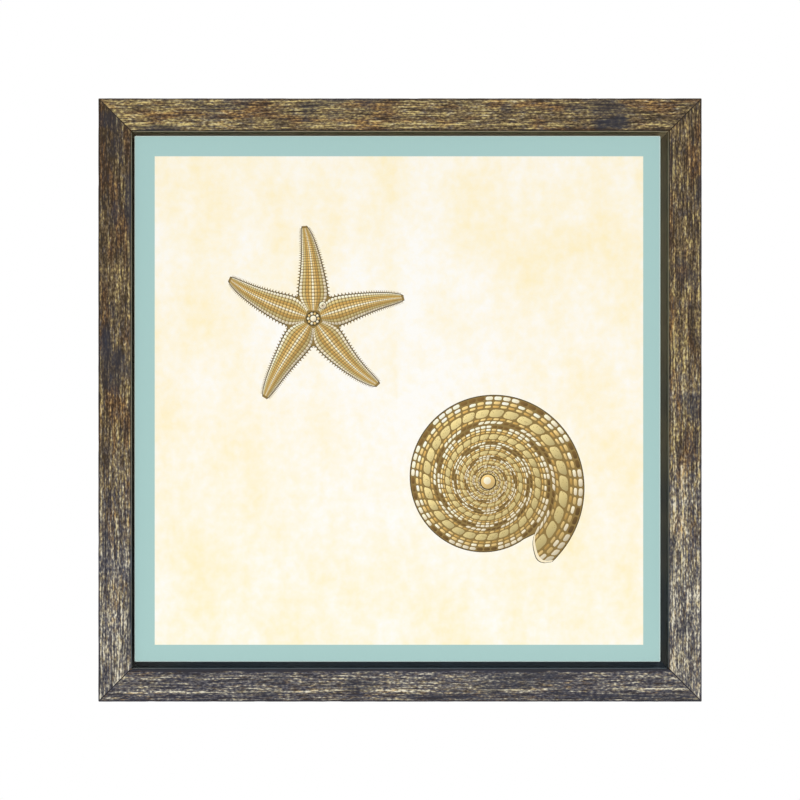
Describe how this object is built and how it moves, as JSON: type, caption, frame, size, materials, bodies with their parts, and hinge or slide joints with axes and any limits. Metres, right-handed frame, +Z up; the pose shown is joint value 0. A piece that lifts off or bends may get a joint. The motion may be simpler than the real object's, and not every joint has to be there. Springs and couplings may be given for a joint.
{
  "type": "framed canvas print",
  "caption": "Square canvas print standing in a distressed dark-wood float frame, with a narrow gap all round it and a sawtooth hanger and felt bumpers on its back.",
  "frame": {"origin": "where the object hangs: the notch of the sawtooth hanger that the wall nail carries, in the plane of the wall", "axes": "+Y into the wall, -Y out of the picture's front, +X to the viewer's right, +Z up"},
  "size_m": [0.466, 0.0343, 0.466],
  "materials": {
    "frame_wood": "dark distressed stain with worn golden streaks, matt",
    "printed_canvas": "matt cotton canvas, printed cream with a teal border",
    "stretcher_pine": "bare planed softwood",
    "screw_zinc": "bright zinc plate",
    "hanger_steel": "brassed steel",
    "bumper_felt": "dark felt"
  },
  "bodies": {
    "root": {"rail_top": "frame_wood", "rail_right": "frame_wood", "rail_bottom": "frame_wood", "rail_left": "frame_wood", "canvas": "printed_canvas", "stretcher_top": "stretcher_pine", "stretcher_right": "stretcher_pine", "stretcher_bottom": "stretcher_pine", "stretcher_left": "stretcher_pine", "screw_1": "screw_zinc", "screw_2": "screw_zinc", "screw_3": "screw_zinc", "screw_4": "screw_zinc", "screw_5": "screw_zinc", "screw_6": "screw_zinc", "screw_7": "screw_zinc", "screw_8": "screw_zinc", "sawtooth_hanger": "hanger_steel", "hanger_nail_left": "hanger_steel", "hanger_nail_right": "hanger_steel", "bumper_left": "bumper_felt", "bumper_right": "bumper_felt"}
  },
  "joints": []
}
